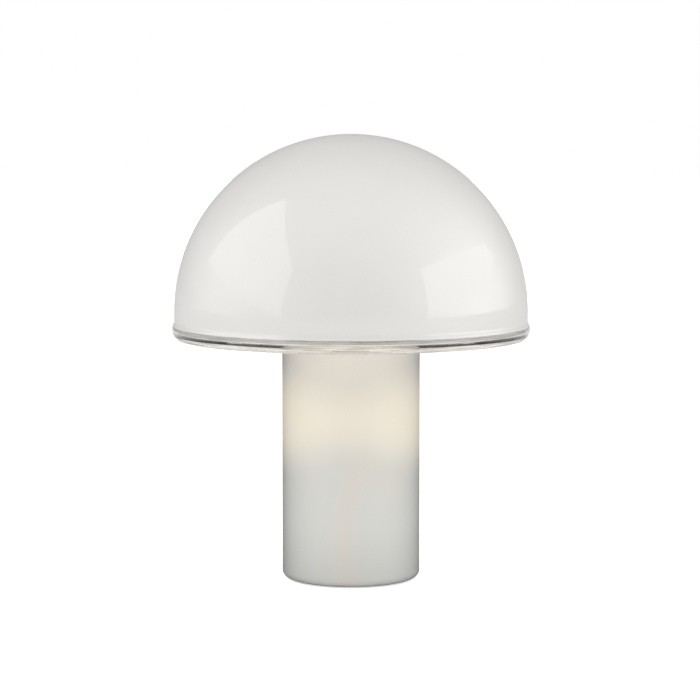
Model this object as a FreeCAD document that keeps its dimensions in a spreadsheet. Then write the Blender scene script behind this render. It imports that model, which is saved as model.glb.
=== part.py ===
import FreeCAD, Part
import math
import os
import Sketcher

# Mushroom table lamp in cased glass: a dome cap over a straight column.
# Millimetres, +Z up, origin at the centre of the base on the table, front towards -Y.

os.makedirs("parts", exist_ok=True)
doc = FreeCAD.newDocument("mushroom_lamp")

# Driving dimensions. Every length is in millimetres, every angle in degrees.
sizes = {
    # cap
    "cap_radius": 177.7,          # outside of the clear layer
    "cap_skirt": 27.0,            # straight wall from the lip up to the half sphere
    "cap_lip_height": 243.7,      # lip above the table
    "clear_layer": 2.0,           # clear outer layer of the cased glass
    "opal_layer": 2.5,            # opal inner layer
    "opal_edge_height": 6.3,      # lower edge of the opal above the lip
    "bead_height": 16.5,          # clear rim bead, lip to its upper end
    "bead_radius": 11.5,          # outside curve of the bead
    "bead_inner_radius": 5.0,     # inside curve of the bead
    "lip_inset": 1.9,             # lowest line of the lip, outwards from the inner wall
    # column
    "column_radius": 69.4,
    "column_height": 266.0,
    "column_corner": 7.6,         # rounded outer corner at the foot
    "column_inner_corner": 6.0,
    "column_edge": 1.2,           # melted rounding of the upper edge
    "glass_lift": 1.0,            # glass above the table
    "floor_recess": 7.0,          # hollow under the glass floor
    "floor_thickness": 5.0,
    "recess_radius": 53.0,
    "recess_slope": 4.0,
    "floor_hole_radius": 8.0,
    # foot
    "foot_height": 4.5,
    "foot_outer_radius": 51.0,
    "foot_inner_radius": 44.0,
    "plate_radius": 51.5,
    "plate_thickness": 2.0,
    "gasket_radius": 40.0,
    "gasket_thickness": 1.5,
    "ballast_radius": 55.0,
    "ballast_thickness": 10.0,
    "ballast_edge": 1.5,
    # threaded tube with its nuts
    "tube_radius": 5.0,
    "tube_bore_radius": 3.6,
    "tube_end": 0.3,              # tube end past the lowest nut
    "tube_window_width": 4.0,     # window where the upper lead enters
    "tube_window_height": 15.0,
    "fit_gap": 0.05,              # radial play between the tube and what sits on it
    "nut_flats": 14.0,
    "nut_height": 3.0,
    "washer_radius": 10.0,
    "washer_thickness": 1.2,
    # bracket of the lower lampholders
    "bracket_height": 88.0,
    "bracket_width": 19.0,
    "bracket_thickness": 2.5,
    "bulb_spacing": 64.0,
    # carrier of the cap
    "hub_height": 236.0,
    "hub_radius": 25.0,
    "hub_thickness": 8.0,
    "ring_radius": 123.0,
    "ring_wire_radius": 3.0,
    "arm_radius": 2.5,
    "sleeve_wall": 1.5,
    "sleeve_angle": 56.0,
    "seat_gap": 0.3,              # between a resting piece and its seat
    # terminal block
    "block_length": 30.0,
    "block_width": 17.0,
    "block_height": 13.0,
    "block_distance": 29.0,       # from the axis to its middle, towards the back
    "pole_pitch": 9.5,
    "wire_hole_radius": 1.6,
    "terminal_screw_radius": 1.5,
    "terminal_screw_length": 4.0,
    "terminal_row_distance": 4.0,
    "screw_slot_width": 0.6,
    "screw_slot_depth": 0.8,
    "lead_radius": 1.3,
    "lead_run": 14.5,             # straight way of a lead out of the block
    "upper_lead_run": 7.5,
    "lead_rise": 31.0,            # from the block up to the bend below a small lampholder
    # cable gland in the column's back
    "gland_height": 29.0,
    "gland_stem_radius": 5.8,
    "gland_hole_gap": 0.2,
    "gland_flange_radius": 9.0,
    "gland_flange": 3.0,
    "gland_nose_length": 12.0,
    "gland_nose_root": 6.6,
    "gland_nose_tip": 4.8,
    "gland_bore_radius": 3.4,
    "gland_washer": 1.2,
    "gland_nut_height": 4.0,
    "gland_nut_flats": 15.6,
    # small lampholders and bulbs (screw size 14 mm)
    "small_housing_radius": 14.0,
    "small_housing_height": 44.0,
    "small_housing_floor": 8.0,
    "small_cavity_radius": 10.0,
    "small_deck_height": 14.0,
    "small_deck_thickness": 3.0,
    "small_shell_radius": 7.25,
    "small_shell_length": 16.5,
    "small_mouth_radius": 9.3,
    "small_mouth_depth": 9.5,
    "small_contact_radius": 3.0,
    "small_contact_height": 1.7,
    "small_tip_radius": 2.4,
    "small_crest_radius": 6.95,
    "small_pitch": 2.82,
    "small_ridge_depth": 0.8,
    "small_insulator_height": 3.2,
    "small_skirt_radius": 8.5,
    "small_skirt_length": 5.0,
    "small_globe_radius": 22.5,
    "small_bulb_length": 78.0,
    "small_neck_angle": 44.0,
    # large lampholder and bulb (screw size 27 mm)
    "large_housing_radius": 20.0,
    "large_housing_height": 52.0,
    "large_housing_floor": 9.0,
    "large_cavity_radius": 15.0,
    "large_deck_height": 16.0,
    "large_deck_thickness": 3.5,
    "large_shell_radius": 13.4,
    "large_shell_length": 22.5,
    "large_mouth_radius": 15.6,
    "large_mouth_depth": 9.0,
    "large_contact_radius": 5.0,
    "large_contact_height": 3.2,
    "large_tip_radius": 5.0,
    "large_crest_radius": 13.1,
    "large_pitch": 3.63,
    "large_ridge_depth": 1.0,
    "large_insulator_height": 4.5,
    "large_skirt_radius": 14.4,
    "large_skirt_length": 6.0,
    "large_globe_radius": 30.0,
    "large_bulb_length": 108.0,
    "large_neck_angle": 36.0,
    # both sizes of lampholder and bulb
    "shell_wall": 0.4,
    "contact_stem_radius": 1.5,
    "contact_head": 1.5,
    "tip_height": 1.2,
    "cap_wall": 0.4,
    "bulb_glass": 0.8,
}

sheet = doc.addObject("Spreadsheet::Sheet", "dim")
for row, (name, value) in enumerate(sizes.items(), start=1):
    sheet.set(f"A{row}", name)
    sheet.set(f"B{row}", str(value))
    sheet.setAlias(f"B{row}", name)
doc.recompute()

# Levels and radii that follow from the sizes, as expressions over the sheet.
cap_opal_outside = "(dim.cap_radius - dim.clear_layer)"
cap_inside = f"({cap_opal_outside} - dim.opal_layer)"
lip_radius = f"({cap_inside} + dim.lip_inset)"
column_opal_outside = "(dim.column_radius - dim.clear_layer)"
column_inside = f"({column_opal_outside} - dim.opal_layer)"
standing_radius = "(dim.column_radius - dim.column_corner)"
floor_top = "(dim.floor_recess + dim.floor_thickness)"

plate_level = "dim.foot_height"
lower_gasket_level = f"({plate_level} + dim.plate_thickness)"
floor_level = "(dim.glass_lift + dim.floor_recess)"
lower_gasket_thickness = f"({floor_level} - {lower_gasket_level})"
upper_gasket_level = f"({floor_level} + dim.floor_thickness)"
ballast_level = f"({upper_gasket_level} + dim.gasket_thickness)"
ballast_top = f"({ballast_level} + dim.ballast_thickness)"
bracket_top = "(dim.bracket_height + dim.bracket_thickness)"
hub_top = "(dim.hub_height + dim.hub_thickness)"
bulb_offset = "(dim.bulb_spacing / 2)"
seat_hole_radius = "(dim.tube_radius + dim.fit_gap)"

small_holder_level = bracket_top
large_holder_level = f"({hub_top} + dim.nut_height)"
tube_start = "(dim.foot_height - dim.nut_height - dim.tube_end)"
tube_top = f"({large_holder_level} + dim.large_housing_floor)"

# Middle of the carrier's ring: it lies on a sphere inside the cap's half sphere.
sleeve_radius = "(dim.ring_wire_radius + dim.fit_gap + dim.sleeve_wall)"
ring_sphere = f"({cap_inside} - dim.seat_gap - {sleeve_radius})"
ring_level = f"(dim.cap_lip_height + dim.cap_skirt + sqrt({ring_sphere}^2 - dim.ring_radius^2))"


def number(expression):
    value = sheet.evalExpression(expression)
    return float(getattr(value, "Value", value))


def origin_plane(body, role):
    return [feature for feature in body.Origin.OriginFeatures if feature.Role == role][0]


def place(piece, x="0", y="0", z="0"):
    for axis, expression in zip("xyz", (x, y, z)):
        if expression != "0":
            piece.setExpression(f".Placement.Base.{axis}", expression)
    return piece


def primitive(kind, label, **expressions):
    piece = doc.addObject(f"Part::{kind}", label)
    piece.Label = label
    for name, expression in expressions.items():
        piece.setExpression(name, expression)
    return piece


def cut(label, base, tool):
    piece = doc.addObject("Part::Cut", label)
    piece.Label = label
    piece.Base = base
    piece.Tool = tool
    return piece


def group(label, pieces):
    node = doc.addObject("Part::Compound", label)
    node.Label = label
    node.Links = pieces
    return node


# An arc from one corner to the next; a positive side bulges to the right of the way there.
def arc_between(start, end, radius, side):
    chord = end - start
    across = FreeCAD.Vector(chord.y, -chord.x, 0).normalize() * side
    half = chord.Length / 2
    rise = radius - math.sqrt(radius**2 - half**2)
    return Part.Arc(start, (start + end) * 0.5 + across * rise, end)


# Closed outline in a sketch. A corner is (x, y), or (x, y, radius, side) where an arc starts.
def draw_outline(sketch, corners):
    points = [FreeCAD.Vector(number(corner[0]), number(corner[1]), 0) for corner in corners]
    first_ends = []
    last_ends = []
    for index, corner in enumerate(corners):
        start = points[index]
        end = points[(index + 1) % len(corners)]
        if len(corner) == 2:
            edge = Part.LineSegment(start, end)
        else:
            edge = arc_between(start, end, number(corner[2]), corner[3])
        geometry = sketch.addGeometry(edge, False)
        forward = sketch.getPoint(geometry, 1).distanceToPoint(start) < 1e-6
        first_ends.append((geometry, 1 if forward else 2))
        last_ends.append((geometry, 2 if forward else 1))
        if len(corner) == 4:
            fix_size(sketch, "Radius", corner[2], geometry)
    for index, corner in enumerate(corners):
        geometry, end = first_ends[index]
        sketch.addConstraint(Sketcher.Constraint("Coincident", *last_ends[index - 1], geometry, end))
        fix_size(sketch, "DistanceX", corner[0], -1, 1, geometry, end)
        fix_size(sketch, "DistanceY", corner[1], -1, 1, geometry, end)


def fix_size(sketch, kind, expression, *places):
    constraint = sketch.addConstraint(Sketcher.Constraint(kind, *places, number(expression)))
    if expression != "0":
        sketch.setExpression(f"Constraints[{constraint}]", expression)


def sketch_on(body, role, name):
    sketch = body.newObject("Sketcher::SketchObject", f"{body.Name}_{name}")
    sketch.AttachmentSupport = [(origin_plane(body, role), "")]
    sketch.MapMode = "FlatFace"
    return sketch


# A round piece. Upright, its outline is (radius, height); outwards, (distance to the back, radius).
def turned(label, corners, x="0", y="0", z="0", upright=True):
    body = doc.addObject("PartDesign::Body", label)
    body.Label = label
    profile = sketch_on(body, "XZ_Plane" if upright else "YZ_Plane", "profile")
    draw_outline(profile, corners)
    turn = body.newObject("PartDesign::Revolution", f"{label}_turn")
    turn.Profile = profile
    turn.ReferenceAxis = (profile, ["V_Axis" if upright else "H_Axis"])
    turn.Angle = 360
    return place(body, x, y, z)


def ring(label, inner, outer, thickness, z):
    corners = [(inner, "0"), (outer, "0"), (outer, thickness), (inner, thickness)]
    return turned(label, corners, z=z)


# A circle in a sketch.
def draw_circle(sketch, radius, x, y):
    middle = FreeCAD.Vector(number(x), number(y), 0)
    circle = sketch.addGeometry(Part.Circle(middle, FreeCAD.Vector(0, 0, 1), number(radius)), False)
    fix_size(sketch, "Radius", radius, circle)
    fix_size(sketch, "DistanceX", x, -1, 1, circle, 3)
    fix_size(sketch, "DistanceY", y, -1, 1, circle, 3)


# A round hole through a body's back wall, from the axis outwards along +Y at the given height.
def back_hole(body, radius, height, depth):
    sketch = sketch_on(body, "XZ_Plane", "back_hole")
    draw_circle(sketch, radius, "0", height)
    doc.recompute()
    whole = body.Shape
    hole = body.newObject("PartDesign::Pocket", f"{body.Name}_back_pocket")
    hole.Profile = sketch
    hole.setExpression("Length", depth)
    doc.recompute()
    removed = whole.cut(body.Shape)
    if removed.Volume < 1 or removed.BoundBox.YMin < 0:
        raise RuntimeError(f"{body.Label}: the hole isn't in the back wall")


# Cap: clear layer over opal, closed below by the clear rim bead. Heights count from the lip.
def cap_shell(label, outer, inner, start):
    outer_pole = f"(dim.cap_skirt + {outer})"
    inner_pole = f"(dim.cap_skirt + {inner})"
    corners = [
        (inner, start),
        (outer, start),
        (outer, "dim.cap_skirt", outer, 1),
        ("0", outer_pole),
        ("0", inner_pole, inner, -1),
        (inner, "dim.cap_skirt"),
    ]
    return turned(label, corners, z="dim.cap_lip_height")


cap_opal = cap_shell("cap_opal_glass", cap_opal_outside, cap_inside, "dim.opal_edge_height")
cap_casing = cap_shell("cap_clear_casing", "dim.cap_radius", cap_opal_outside, "dim.bead_height")
cap_bead = turned("cap_rim_bead", [
    (lip_radius, "0", "dim.bead_radius", 1),
    ("dim.cap_radius", "dim.bead_height"),
    (cap_opal_outside, "dim.bead_height"),
    (cap_opal_outside, "dim.opal_edge_height"),
    (cap_inside, "dim.opal_edge_height", "dim.bead_inner_radius", 1),
], z="dim.cap_lip_height")

# Column: heights count from the glass's own underside. The casing wraps the foot's corner.
casing_inner_corner = "(dim.column_corner - dim.clear_layer)"
recess_edge = "(dim.recess_radius + dim.recess_slope)"
column_casing = turned("column_clear_casing", [
    (recess_edge, "0"),
    (standing_radius, "0", "dim.column_corner", 1),
    ("dim.column_radius", "dim.column_corner"),
    ("dim.column_radius", "(dim.column_height - dim.column_edge)", "dim.column_edge", 1),
    ("(dim.column_radius - dim.column_edge)", "dim.column_height"),
    (column_opal_outside, "dim.column_height"),
    (column_opal_outside, "dim.column_corner", casing_inner_corner, -1),
    (standing_radius, "dim.clear_layer"),
    (recess_edge, "dim.clear_layer"),
], z="dim.glass_lift")
column_opal = turned("column_opal_glass", [
    (recess_edge, "dim.clear_layer"),
    (standing_radius, "dim.clear_layer", casing_inner_corner, 1),
    (column_opal_outside, "dim.column_corner"),
    (column_opal_outside, "dim.column_height"),
    (f"({column_inside} + dim.column_edge)", "dim.column_height", "dim.column_edge", 1),
    (column_inside, "(dim.column_height - dim.column_edge)"),
    (column_inside, f"({floor_top} + dim.column_inner_corner)", "dim.column_inner_corner", -1),
    (f"({column_inside} - dim.column_inner_corner)", floor_top),
    ("dim.floor_hole_radius", floor_top),
    ("dim.floor_hole_radius", "dim.floor_recess"),
    ("dim.recess_radius", "dim.floor_recess"),
], z="dim.glass_lift")
gland_hole_radius = "(dim.gland_stem_radius + dim.gland_hole_gap)"
for layer in (column_casing, column_opal):
    back_hole(layer, gland_hole_radius, "(dim.gland_height - dim.glass_lift)", "dim.column_radius")

# Foot, gaskets and ballast clamp the glass floor between them on the threaded tube.
foot = ring("foot_ring", "dim.foot_inner_radius", "dim.foot_outer_radius", "dim.foot_height", "0")
plate = ring("base_plate", seat_hole_radius, "dim.plate_radius", "dim.plate_thickness", plate_level)
lower_gasket = ring("lower_gasket", seat_hole_radius, "dim.gasket_radius", lower_gasket_thickness,
                    lower_gasket_level)
upper_gasket = ring("upper_gasket", seat_hole_radius, "dim.gasket_radius", "dim.gasket_thickness",
                    upper_gasket_level)
ballast_disc = turned("ballast_disc", [
    (seat_hole_radius, "0"),
    ("(dim.ballast_radius - dim.ballast_edge)", "0"),
    ("dim.ballast_radius", "dim.ballast_edge"),
    ("dim.ballast_radius", "(dim.ballast_thickness - dim.ballast_edge)"),
    ("(dim.ballast_radius - dim.ballast_edge)", "dim.ballast_thickness"),
    (seat_hole_radius, "dim.ballast_thickness"),
], z=ballast_level)

# Threaded tube with a window for the upper lead, just above the ballast's nut.
window_level = f"({ballast_top} + dim.washer_thickness + dim.nut_height + dim.nut_height)"
tube_rod = primitive("Cylinder", "tube_rod", Radius="dim.tube_radius", Height=f"{tube_top} - {tube_start}")
tube_bore = primitive("Cylinder", "tube_bore", Radius="dim.tube_bore_radius",
                      Height=f"{tube_top} - {tube_start}")
tube_window = primitive("Box", "tube_window", Length="dim.tube_window_width", Width="dim.tube_radius + 1",
                        Height="dim.tube_window_height")
place(tube_rod, z=tube_start)
place(tube_bore, z=tube_start)
place(tube_window, "-dim.tube_window_width / 2", z=window_level)
central_tube = cut("central_tube", cut("tube_pipe", tube_rod, tube_bore), tube_window)


def tube_nut(label, x="0", z="0"):
    prism = primitive("Prism", f"{label}_prism", Circumradius="dim.nut_flats / sqrt(3)",
                      Height="dim.nut_height")
    prism.Polygon = 6
    hole = primitive("Cylinder", f"{label}_hole", Radius=seat_hole_radius, Height="dim.nut_height")
    for piece in (prism, hole):
        place(piece, x, z=z)
    return cut(label, prism, hole)


def washer(label, z):
    disc = primitive("Cylinder", f"{label}_disc", Radius="dim.washer_radius", Height="dim.washer_thickness")
    hole = primitive("Cylinder", f"{label}_hole", Radius=seat_hole_radius, Height="dim.washer_thickness")
    for piece in (disc, hole):
        place(piece, z=z)
    return cut(label, disc, hole)


nut_levels = {
    "foot": "(dim.foot_height - dim.nut_height)",
    "ballast": f"({ballast_top} + dim.washer_thickness)",
    "bracket_lower": "(dim.bracket_height - dim.washer_thickness - dim.nut_height)",
    "bracket_upper": f"({bracket_top} + dim.washer_thickness)",
    "hub_lower": "(dim.hub_height - dim.nut_height)",
    "hub_upper": hub_top,
}
tube_nuts = group("tube_nuts", [tube_nut(f"nut_{name}", z=level) for name, level in nut_levels.items()])
washer_levels = {
    "ballast": ballast_top,
    "bracket_lower": "(dim.bracket_height - dim.washer_thickness)",
    "bracket_upper": bracket_top,
}
tube_washers = group("tube_washers", [
    washer(f"washer_{name}", level) for name, level in washer_levels.items()
])


# Bracket: a flat strip with round ends, one hole for the tube and one for each nipple.
def bracket_piece():
    strip = primitive("Box", "bracket_strip", Length="dim.bulb_spacing", Width="dim.bracket_width",
                      Height="dim.bracket_thickness")
    place(strip, f"-{bulb_offset}", "-dim.bracket_width / 2", "dim.bracket_height")
    ends = []
    holes = []
    for name, x in (("left", f"-{bulb_offset}"), ("right", bulb_offset)):
        ends.append(place(primitive("Cylinder", f"bracket_end_{name}", Radius="dim.bracket_width / 2",
                                    Height="dim.bracket_thickness"), x, z="dim.bracket_height"))
    for name, x in (("left", f"-{bulb_offset}"), ("middle", "0"), ("right", bulb_offset)):
        holes.append(place(primitive("Cylinder", f"bracket_hole_{name}", Radius=seat_hole_radius,
                                     Height="dim.bracket_thickness"), x, z="dim.bracket_height"))
    blank = doc.addObject("Part::MultiFuse", "bracket_blank")
    blank.Shapes = [strip] + ends
    drill = doc.addObject("Part::MultiFuse", "bracket_drill")
    drill.Shapes = holes
    return cut("lower_bracket", blank, drill)


lower_bracket = bracket_piece()


# Nipple from the lampholder's floor down through the bracket's end and the nut below it.
holder_nut_level = "(dim.bracket_height - dim.nut_height)"
nipple_level = f"({holder_nut_level} - dim.tube_end)"
nipple_length = f"({bracket_top} + dim.small_housing_floor - {nipple_level})"
sides = {"left": f"-{bulb_offset}", "right": bulb_offset}


def nipple(label, x):
    rod = primitive("Cylinder", f"{label}_rod", Radius="dim.tube_radius", Height=nipple_length)
    bore = primitive("Cylinder", f"{label}_bore", Radius="dim.tube_bore_radius", Height=nipple_length)
    for piece in (rod, bore):
        place(piece, x, z=nipple_level)
    return cut(label, rod, bore)


holder_nipples = group("holder_nipples", [nipple(f"nipple_{side}", x) for side, x in sides.items()])
holder_nuts = group("holder_nuts", [
    tube_nut(f"holder_nut_{side}", x, holder_nut_level) for side, x in sides.items()
])


# Carrier: hub on the tube, three arms and a ring, welded into one frame.
def carrier_piece():
    hub = primitive("Cylinder", "carrier_hub", Radius="dim.hub_radius", Height="dim.hub_thickness")
    hoop = primitive("Torus", "carrier_hoop", Radius1="dim.ring_radius", Radius2="dim.ring_wire_radius")
    place(hub, z="dim.hub_height")
    place(hoop, z=ring_level)
    foot_radius = "(dim.hub_radius - dim.arm_radius)"
    foot_level = "(dim.hub_height + dim.hub_thickness / 2)"
    rise = f"({ring_level} - {foot_level})"
    reach = f"(dim.ring_radius - {foot_radius})"
    arms = []
    for azimuth in (90, 210, 330):
        arm = primitive("Cylinder", f"carrier_arm_{azimuth}", Radius="dim.arm_radius",
                        Height=f"sqrt({rise}^2 + {reach}^2)")
        across = FreeCAD.Vector(-math.sin(math.radians(azimuth)), math.cos(math.radians(azimuth)), 0)
        arm.Placement.Rotation = FreeCAD.Rotation(across, 1)
        arm.setExpression(".Placement.Rotation.Angle", f"atan2({reach}; {rise})")
        place(arm, f"{foot_radius} * cos({azimuth})", f"{foot_radius} * sin({azimuth})", foot_level)
        arms.append(arm)
    frame = doc.addObject("Part::MultiFuse", "carrier_frame")
    frame.Shapes = [hub, hoop] + arms
    bore = primitive("Cylinder", "carrier_bore", Radius=seat_hole_radius, Height="dim.hub_thickness")
    place(bore, z="dim.hub_height")
    return cut("cap_carrier", frame, bore)


cap_carrier = carrier_piece()


# Silicone sleeves on the ring, midway between the arms: the cap rests on them.
def sleeve_piece():
    body = doc.addObject("PartDesign::Body", "carrier_sleeves")
    body.Label = "carrier_sleeves"
    profile = sketch_on(body, "XZ_Plane", "profile")
    for radius in ("(dim.ring_wire_radius + dim.fit_gap)", sleeve_radius):
        draw_circle(profile, radius, "dim.ring_radius", "0")
    turn = body.newObject("PartDesign::Revolution", "carrier_sleeves_turn")
    turn.Profile = profile
    turn.ReferenceAxis = (profile, ["V_Axis"])
    turn.setExpression("Angle", "dim.sleeve_angle")
    turn.Midplane = True
    doc.recompute()
    pattern = body.newObject("PartDesign::PolarPattern", "carrier_sleeves_pattern")
    pattern.Originals = [turn]
    pattern.Axis = (origin_plane(body, "Z_Axis"), [""])
    pattern.Angle = 360
    pattern.Occurrences = 3
    body.Tip = pattern
    body.Placement.Rotation = FreeCAD.Rotation(FreeCAD.Vector(0, 0, 1), 30)
    return place(body, z=ring_level)


carrier_sleeves = sleeve_piece()

nodes = [
    cap_opal, cap_casing, cap_bead,
    column_casing, column_opal,
    foot, plate, lower_gasket, upper_gasket, ballast_disc,
    central_tube, tube_nuts, tube_washers,
    lower_bracket, holder_nipples, holder_nuts,
    cap_carrier, carrier_sleeves,
]


# Lampholder: heights count from the underside of its housing.
def lampholder(name, size, x, level):
    deck_top = f"(dim.{size}_deck_height + dim.{size}_deck_thickness)"
    shell_outside = f"(dim.{size}_shell_radius + dim.shell_wall)"
    shell_top = f"({deck_top} + dim.{size}_shell_length)"
    stem_hole = "(dim.contact_stem_radius + dim.fit_gap)"
    mouth_level = f"(dim.{size}_housing_height - dim.{size}_mouth_depth)"
    housing = turned(f"{name}_holder_housing", [
        (seat_hole_radius, "0"),
        (f"dim.{size}_housing_radius", "0"),
        (f"dim.{size}_housing_radius", f"dim.{size}_housing_height"),
        (f"dim.{size}_mouth_radius", f"dim.{size}_housing_height"),
        (f"dim.{size}_mouth_radius", mouth_level),
        (f"({shell_outside} + dim.fit_gap)", mouth_level),
        (f"({shell_outside} + dim.fit_gap)", deck_top),
        (stem_hole, deck_top),
        (stem_hole, f"dim.{size}_deck_height"),
        (f"dim.{size}_cavity_radius", f"dim.{size}_deck_height"),
        (f"dim.{size}_cavity_radius", f"dim.{size}_housing_floor"),
        (seat_hole_radius, f"dim.{size}_housing_floor"),
    ], x, z=level)
    shell = turned(f"{name}_holder_shell", [
        (f"dim.{size}_shell_radius", deck_top),
        (shell_outside, deck_top),
        (shell_outside, shell_top),
        (f"dim.{size}_shell_radius", shell_top),
    ], x, z=level)
    contact_top = f"({deck_top} + dim.{size}_contact_height)"
    contact = turned(f"{name}_holder_contact", [
        ("0", f"(dim.{size}_deck_height - dim.contact_head)"),
        (f"dim.{size}_contact_radius", f"(dim.{size}_deck_height - dim.contact_head)"),
        (f"dim.{size}_contact_radius", f"dim.{size}_deck_height"),
        ("dim.contact_stem_radius", f"dim.{size}_deck_height"),
        ("dim.contact_stem_radius", deck_top),
        (f"dim.{size}_contact_radius", deck_top),
        (f"dim.{size}_contact_radius", contact_top),
        ("0", contact_top),
    ], x, z=level)
    return [housing, shell, contact], f"({level} + {contact_top} + dim.seat_gap)"


# Bulb: heights count from its contact tip. Ridges stand for the rolled screw thread.
def bulb(name, size, x, level):
    insulator_top = f"(dim.tip_height + dim.{size}_insulator_height)"
    root = f"(dim.{size}_crest_radius - dim.{size}_ridge_depth)"
    ridge_count = 4
    thread_end = f"({insulator_top} + {ridge_count} * dim.{size}_pitch)"
    skirt_start = f"({thread_end} + dim.{size}_skirt_radius - {root})"
    cap_end = f"({skirt_start} + dim.{size}_skirt_length)"
    skirt_inside = f"(dim.{size}_skirt_radius - dim.cap_wall)"
    tip = turned(f"{name}_bulb_tip", [
        ("0", "0"),
        (f"(dim.{size}_tip_radius * 0.7)", "0"),
        (f"dim.{size}_tip_radius", "(dim.tip_height * 0.5)"),
        (f"dim.{size}_tip_radius", "dim.tip_height"),
        ("0", "dim.tip_height"),
    ], x, z=level)
    insulator = turned(f"{name}_bulb_insulator", [
        ("0", "dim.tip_height"),
        (f"(dim.{size}_tip_radius + dim.tip_height)", "dim.tip_height"),
        (root, insulator_top),
        ("0", insulator_top),
    ], x, z=level)
    outside = [(root, insulator_top)]
    for ridge in range(ridge_count):
        crest_level = f"({insulator_top} + ({ridge} + 0.5) * dim.{size}_pitch)"
        root_level = f"({insulator_top} + ({ridge} + 1) * dim.{size}_pitch)"
        outside.append((f"dim.{size}_crest_radius", crest_level))
        outside.append((root, root_level))
    outside.append((f"dim.{size}_skirt_radius", skirt_start))
    outside.append((f"dim.{size}_skirt_radius", cap_end))
    inside = [
        (skirt_inside, cap_end),
        (skirt_inside, skirt_start),
        (f"({root} - dim.cap_wall)", thread_end),
        (f"({root} - dim.cap_wall)", insulator_top),
    ]
    screw_cap = turned(f"{name}_bulb_cap", outside + inside, x, z=level)
    globe = f"dim.{size}_globe_radius"
    globe_inside = f"({globe} - dim.bulb_glass)"
    globe_level = f"(dim.{size}_bulb_length - {globe})"
    below = f"dim.{size}_neck_angle"
    neck = f"({skirt_inside} - dim.fit_gap)"
    neck_inside = f"({neck} - dim.bulb_glass)"
    glass = turned(f"{name}_bulb_glass", [
        ("0", skirt_start),
        (neck, skirt_start),
        (neck, cap_end),
        (f"({globe} * cos({below}))", f"({globe_level} - {globe} * sin({below}))", globe, 1),
        ("0", f"dim.{size}_bulb_length"),
        ("0", f"(dim.{size}_bulb_length - dim.bulb_glass)", globe_inside, -1),
        (f"({globe_inside} * cos({below}))", f"({globe_level} - {globe_inside} * sin({below}))"),
        (neck_inside, f"({cap_end} + dim.bulb_glass)"),
        (neck_inside, f"({skirt_start} + dim.bulb_glass)"),
        ("0", f"({skirt_start} + dim.bulb_glass)"),
    ], x, z=level)
    return [tip, insulator, screw_cap, glass]


lamp_places = {
    "left": ("small", f"-{bulb_offset}", small_holder_level),
    "right": ("small", bulb_offset, small_holder_level),
    "upper": ("large", "0", large_holder_level),
}
for name, (size, x, level) in lamp_places.items():
    holder, tip_level = lampholder(name, size, x, level)
    nodes += holder + bulb(name, size, x, tip_level)


# Terminal block on the ballast: three poles, wire holes through it and screw wells on top.
def terminal_pieces():
    base = primitive("Box", "block_base", Length="dim.block_length", Width="dim.block_width",
                     Height="dim.block_height")
    place(base, "-dim.block_length / 2", "dim.block_distance - dim.block_width / 2", ballast_top)
    wells = []
    screws = []
    for pole in (-1, 0, 1):
        hole = primitive("Cylinder", f"wire_hole_{pole + 2}", Radius="dim.wire_hole_radius",
                         Height="dim.block_width")
        hole.Placement.Rotation = FreeCAD.Rotation(FreeCAD.Vector(1, 0, 0), -90)
        place(hole, f"{pole} * dim.pole_pitch", "dim.block_distance - dim.block_width / 2",
              f"{ballast_top} + dim.block_height / 2")
        wells.append(hole)
        for row in (-1, 1):
            where = f"{pole + 2}_{'front' if row < 0 else 'back'}"
            x = f"{pole} * dim.pole_pitch"
            y = f"dim.block_distance + ({row} * dim.terminal_row_distance)"
            well_level = f"{ballast_top} + dim.block_height - dim.terminal_screw_length"
            well = primitive("Cylinder", f"well_{where}", Radius="dim.terminal_screw_radius + dim.fit_gap",
                             Height="dim.terminal_screw_length")
            wells.append(place(well, x, y, well_level))
            screws.append(slotted_screw(f"terminal_screw_{where}", x, y, well_level))
    drill = doc.addObject("Part::MultiFuse", "block_drill")
    drill.Shapes = wells
    return [cut("terminal_block", base, drill), group("terminal_screws", screws)]


def slotted_screw(label, x, y, z):
    shank = primitive("Cylinder", f"{label}_shank", Radius="dim.terminal_screw_radius",
                      Height="dim.terminal_screw_length")
    slot = primitive("Box", f"{label}_slot", Length="dim.terminal_screw_radius * 2",
                     Width="dim.screw_slot_width", Height="dim.screw_slot_depth")
    place(shank, x, y, z)
    place(slot, f"{x} - dim.terminal_screw_radius", f"{y} - dim.screw_slot_width / 2",
          f"{z} + dim.terminal_screw_length - dim.screw_slot_depth")
    return cut(label, shank, slot)


# Cable gland through the back of the column; its distances count from the glass's outside.
nut_corner = "(dim.gland_nut_flats / sqrt(3))"
nut_seat = f"sqrt({column_inside}^2 - {nut_corner}^2)"
stem_start = f"({nut_seat} - dim.gland_nut_height - dim.tube_end - dim.column_radius)"
flange_start = "dim.gland_washer"
nose_start = "(dim.gland_washer + dim.gland_flange)"
cable_gland = turned("cable_gland", [
    (stem_start, "dim.gland_bore_radius"),
    (f"({nose_start} + dim.gland_nose_length)", "dim.gland_bore_radius"),
    (f"({nose_start} + dim.gland_nose_length)", "dim.gland_nose_tip"),
    (nose_start, "dim.gland_nose_root"),
    (nose_start, "dim.gland_flange_radius"),
    (flange_start, "dim.gland_flange_radius"),
    (flange_start, "dim.gland_stem_radius"),
    (stem_start, "dim.gland_stem_radius"),
], y="dim.column_radius", z="dim.gland_height", upright=False)
gland_washer = turned("gland_washer", [
    ("0", "(dim.gland_stem_radius + dim.fit_gap)"),
    ("dim.gland_washer", "(dim.gland_stem_radius + dim.fit_gap)"),
    ("dim.gland_washer", "dim.gland_flange_radius"),
    ("0", "dim.gland_flange_radius"),
], y="dim.column_radius", z="dim.gland_height", upright=False)


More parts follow.
